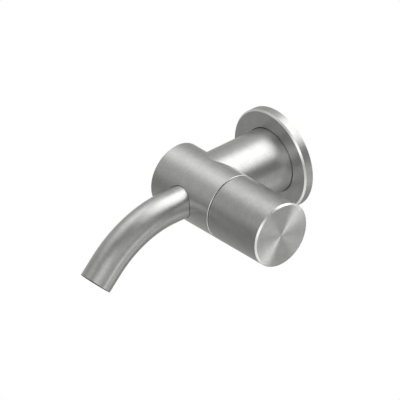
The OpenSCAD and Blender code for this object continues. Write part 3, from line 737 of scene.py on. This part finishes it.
def white_floor(stage):
    """A wide floor below the tap, plain white to the camera. The steel doesn't mirror it."""
    drop = Matrix.Translation((0, 0, -stage.floor_drop))
    bm = bmesh.new()
    bmesh.ops.create_grid(bm, x_segments=1, y_segments=1, size=FLOOR_HALF_WIDTH, matrix=drop)
    mesh = bpy.data.meshes.new("floor")
    bm.to_mesh(mesh)
    bm.free()
    material, n = blank_material("floor_white")
    pale = n.add("ShaderNodeBsdfDiffuse", {"Color": PALE_GREY})
    white = n.add("ShaderNodeEmission", {"Color": WHITE, "Strength": 1.0})
    mixed = blend(n, seen_by_camera(n), pale.outputs[0], white.outputs[0])
    n.add("ShaderNodeOutputMaterial", {"Surface": mixed})
    mesh.materials.append(material)
    floor = bpy.data.objects.new("floor", mesh)
    floor.visible_glossy = False
    floor.visible_shadow = False
    return floor


def fitted_camera(stage):
    """A parallel camera that looks at the target from the photo's side."""
    data = bpy.data.cameras.new("camera")
    data.type = "ORTHO"
    data.ortho_scale = stage.view_width
    data.clip_start = 0.01
    data.clip_end = 20.0
    level = math.cos(stage.elevation)
    height = math.sin(stage.elevation)
    back = Vector((math.sin(stage.azimuth) * level, -math.cos(stage.azimuth) * level, height))
    camera = bpy.data.objects.new("camera", data)
    camera.location = Vector(stage.target) + back * CAMERA_DISTANCE
    camera.rotation_mode = "QUATERNION"
    camera.rotation_quaternion = (-back).to_track_quat("-Z", "Y")
    return camera


# Operators


class TAP_OT_finishes(bpy.types.Operator):
    """Gives every part of the frame its finish"""

    bl_idname = "tap.finishes"
    bl_label = "Finishes"

    def execute(self, context):
        finish = context.scene.tap_finish
        dress(["mixer_body"], body_steel(finish))
        dress(["handle"], handle_steel(finish))
        dress(["rosette"], rosette_steel(finish))
        dress(["neck_tube"], neck_steel(finish))
        dress(
            [
                "wall_screws",
                "neck_grub_screw",
                "handle_grub_screw",
                "spout_grub_screw",
                "hub_screw",
                "aerator_screen",
            ],
            plain_metal("screw_steel_finish", (0.36, 0.36, 0.37), 0.3),
        )
        dress(["wall_plate"], plain_metal("plate_steel_finish", (0.45, 0.45, 0.44), 0.42))
        dress(["aerator_housing"], plain_metal("plated_brass_finish", (0.58, 0.58, 0.58), 0.18))
        dress(
            ["inlet_block", "spindle", "retaining_nut", "handle_hub", "spout_nipple"],
            plain_metal("brass_finish", finish.brass_colour, 0.28),
        )
        dress(["hot_feed_tube", "cold_feed_tube"], plain_metal("copper_finish", (0.72, 0.32, 0.18), 0.27))
        dress(
            [
                "rosette_grip_ring",
                "rosette_wall_seal",
                "feed_tube_seals",
                "port_seals",
                "spindle_seals",
                "nipple_seals",
                "aerator_seal",
            ],
            moulded("rubber_finish", (0.012, 0.012, 0.012), 0.62, 1600.0, 0.00006, 0.35),
        )
        dress(
            ["cartridge_housing", "glide_ring"],
            moulded("white_plastic_finish", (0.72, 0.72, 0.69), 0.42),
        )
        dress(
            ["cartridge_base", "disc_carrier", "aerator_core"],
            moulded("dark_plastic_finish", (0.03, 0.032, 0.036), 0.45),
        )
        dress(["stop_ring"], moulded("red_plastic_finish", (0.5, 0.02, 0.015), 0.4))
        dress(
            ["fixed_disc", "moving_disc"],
            moulded("ceramic_finish", (0.8, 0.78, 0.72), 0.16, 2400.0, 0.00001),
        )
        return {"FINISHED"}


class TAP_OT_spout(bpy.types.Operator):
    """Sweeps the bent spout with its mouth and its bore"""

    bl_idname = "tap.spout"
    bl_label = "Spout"

    def execute(self, context):
        spout = context.scene.tap_spout
        piece = finished_piece("swept_spout", swept_tube(spout))
        piece.data.materials.append(spout_steel(context.scene.tap_finish, spout))
        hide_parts("spout_tube")
        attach(piece, "tap")
        return {"FINISHED"}


class TAP_OT_stage(bpy.types.Operator):
    """Sets the studio world, the floor and the camera"""

    bl_idname = "tap.stage"
    bl_label = "Stage"

    def execute(self, context):
        stage = context.scene.tap_stage
        scene = context.scene
        scene.view_settings.view_transform = "Standard"
        scene.world = studio_world(stage)
        floor = white_floor(stage)
        scene.collection.objects.link(floor)
        camera = fitted_camera(stage)
        scene.collection.objects.link(camera)
        scene.camera = camera
        return {"FINISHED"}


class TAP_PT_panel(bpy.types.Panel):
    """The tap's looks"""

    bl_idname = "TAP_PT_panel"
    bl_label = "Wall Mixer Tap"
    bl_space_type = "VIEW_3D"
    bl_region_type = "UI"
    bl_category = "Tap"

    def draw(self, context):
        for operator in PIECES:
            self.layout.operator(operator.bl_idname)
        for group in (context.scene.tap_finish, context.scene.tap_spout, context.scene.tap_stage):
            box = self.layout.box()
            for key in group.__annotations__:
                box.prop(group, key)


PIECES = (TAP_OT_finishes, TAP_OT_spout, TAP_OT_stage)
CLASSES = (TapFinish, TapSpout, TapStage, *PIECES, TAP_PT_panel)


def register():
    for cls in CLASSES:
        bpy.utils.register_class(cls)
    bpy.types.Scene.tap_finish = PointerProperty(type=TapFinish)
    bpy.types.Scene.tap_spout = PointerProperty(type=TapSpout)
    bpy.types.Scene.tap_stage = PointerProperty(type=TapStage)


def unregister():
    del bpy.types.Scene.tap_stage
    del bpy.types.Scene.tap_spout
    del bpy.types.Scene.tap_finish
    for cls in reversed(CLASSES):
        bpy.utils.unregister_class(cls)


def main():
    register()
    bpy.ops.tap.finishes()
    bpy.ops.tap.spout()
    bpy.ops.tap.stage()


if __name__ == "__main__":
    main()
